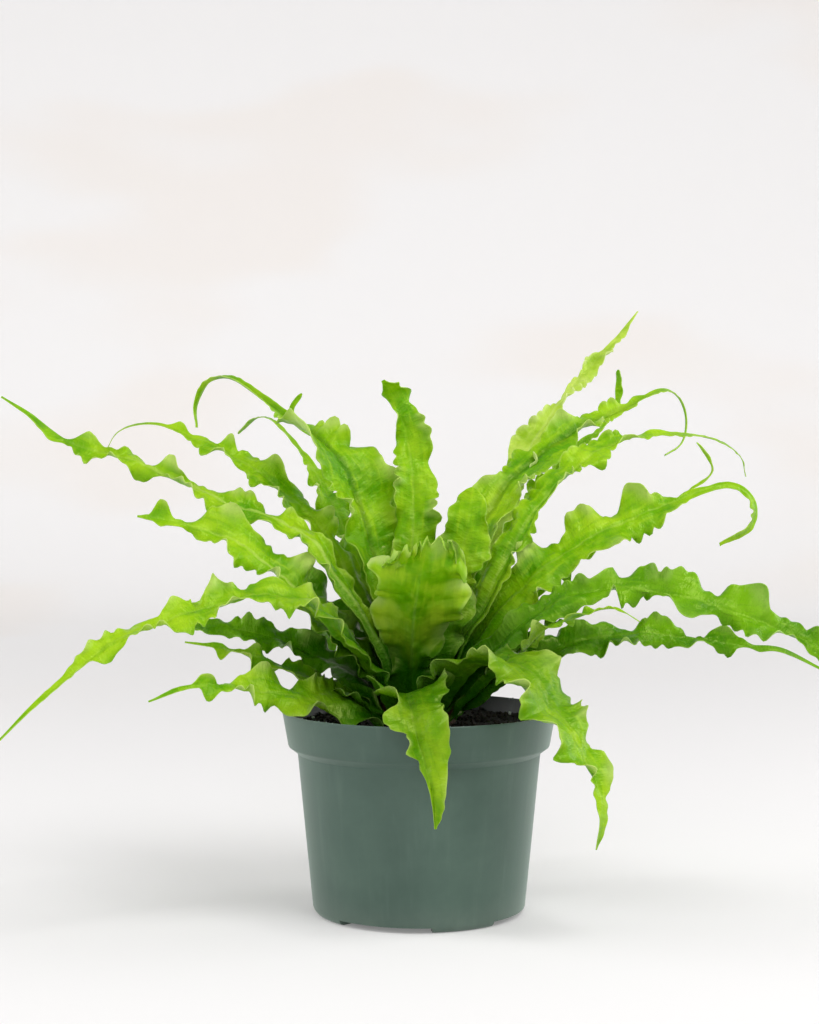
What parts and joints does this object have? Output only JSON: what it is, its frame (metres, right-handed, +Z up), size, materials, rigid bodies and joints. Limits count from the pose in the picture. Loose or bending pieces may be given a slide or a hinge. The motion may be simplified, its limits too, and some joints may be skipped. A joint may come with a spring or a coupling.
{
  "type": "potted birds nest fern",
  "caption": "Bushy fern with long wavy-edged arching fronds rising from a dark crown, planted in a round tapered nursery pot with a stepped rim.",
  "frame": {"origin": "middle of the circle that the pot's feet stand on", "axes": "+Z up, +X to the right of the picture, +Y away from the picture's camera"},
  "size_m": [0.4811, 0.3512, 0.3575],
  "materials": {
    "pot": "matt grey-green thin moulded plastic",
    "soil": "dark crumbly potting soil",
    "crown": "dark brown scaly fern crown",
    "leaf": "slightly glossy bright green fern leaf",
    "leaf_pale": "slightly glossy pale young fern leaf",
    "leaf_deep": "slightly glossy mid-green fern leaf"
  },
  "bodies": {
    "root": {"pot": "pot", "soil": "soil", "crown": "crown", "frond_left_1": "leaf", "frond_left_2": "leaf", "frond_left_3": "leaf", "frond_left_4": "leaf", "frond_left_5": "leaf", "frond_left_6": "leaf_deep", "frond_left_7": "leaf", "frond_left_8": "leaf", "frond_left_9": "leaf", "frond_left_10": "leaf", "frond_centre_1": "leaf", "frond_centre_2": "leaf", "frond_centre_3": "leaf", "frond_right_1": "leaf_pale", "frond_right_2": "leaf", "frond_right_3": "leaf", "frond_right_4": "leaf", "frond_right_5": "leaf_deep", "frond_right_6": "leaf_deep", "frond_right_7": "leaf", "frond_right_8": "leaf", "frond_right_9": "leaf", "frond_right_10": "leaf", "frond_front_1": "leaf", "frond_back_1": "leaf_deep", "frond_back_2": "leaf_deep", "frond_back_3": "leaf_deep", "frond_back_4": "leaf_deep", "frond_back_5": "leaf_deep"}
  },
  "joints": []
}
